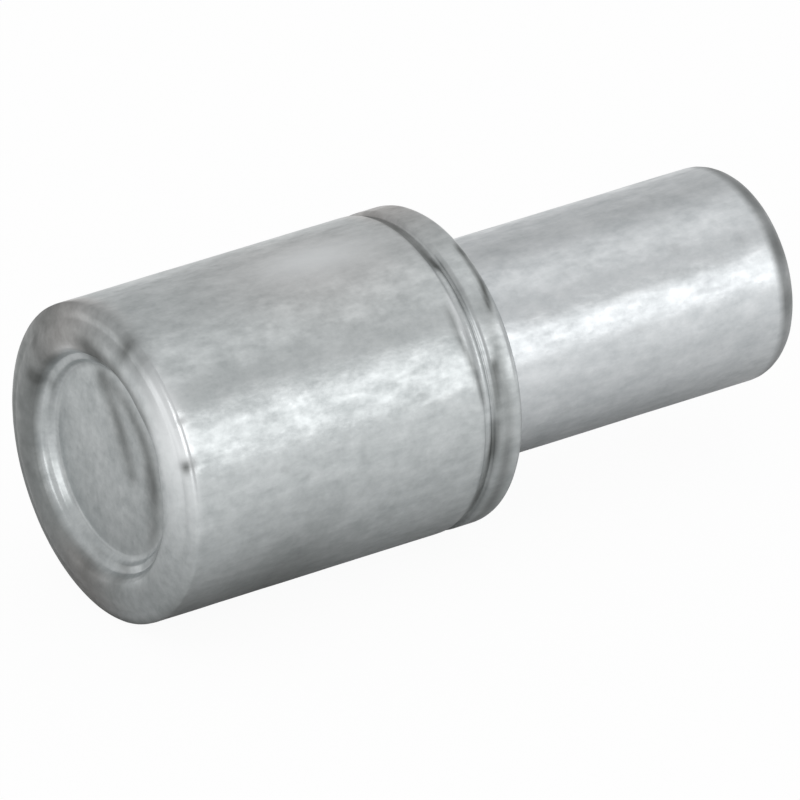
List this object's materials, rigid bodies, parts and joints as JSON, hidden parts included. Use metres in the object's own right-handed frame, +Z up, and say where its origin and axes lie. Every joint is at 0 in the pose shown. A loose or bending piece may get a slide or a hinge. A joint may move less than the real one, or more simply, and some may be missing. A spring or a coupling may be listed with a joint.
{
  "type": "shelf support pin",
  "caption": "Stepped round pin in zinc-plated steel: a narrow stem plugs into a drilled cabinet side and the shelf lies on the wide body.",
  "frame": {"origin": "centre of the shoulder's face, where the pin stops against the cabinet side", "axes": "+X along the pin's axis towards the stem's tip, +Z up as it is fitted"},
  "size_m": [0.0174, 0.0074, 0.0074],
  "materials": {
    "zinc_plated_steel": "bright zinc plating, satin, slightly mottled"
  },
  "bodies": {
    "root": {"pin": "zinc_plated_steel"}
  },
  "joints": []
}
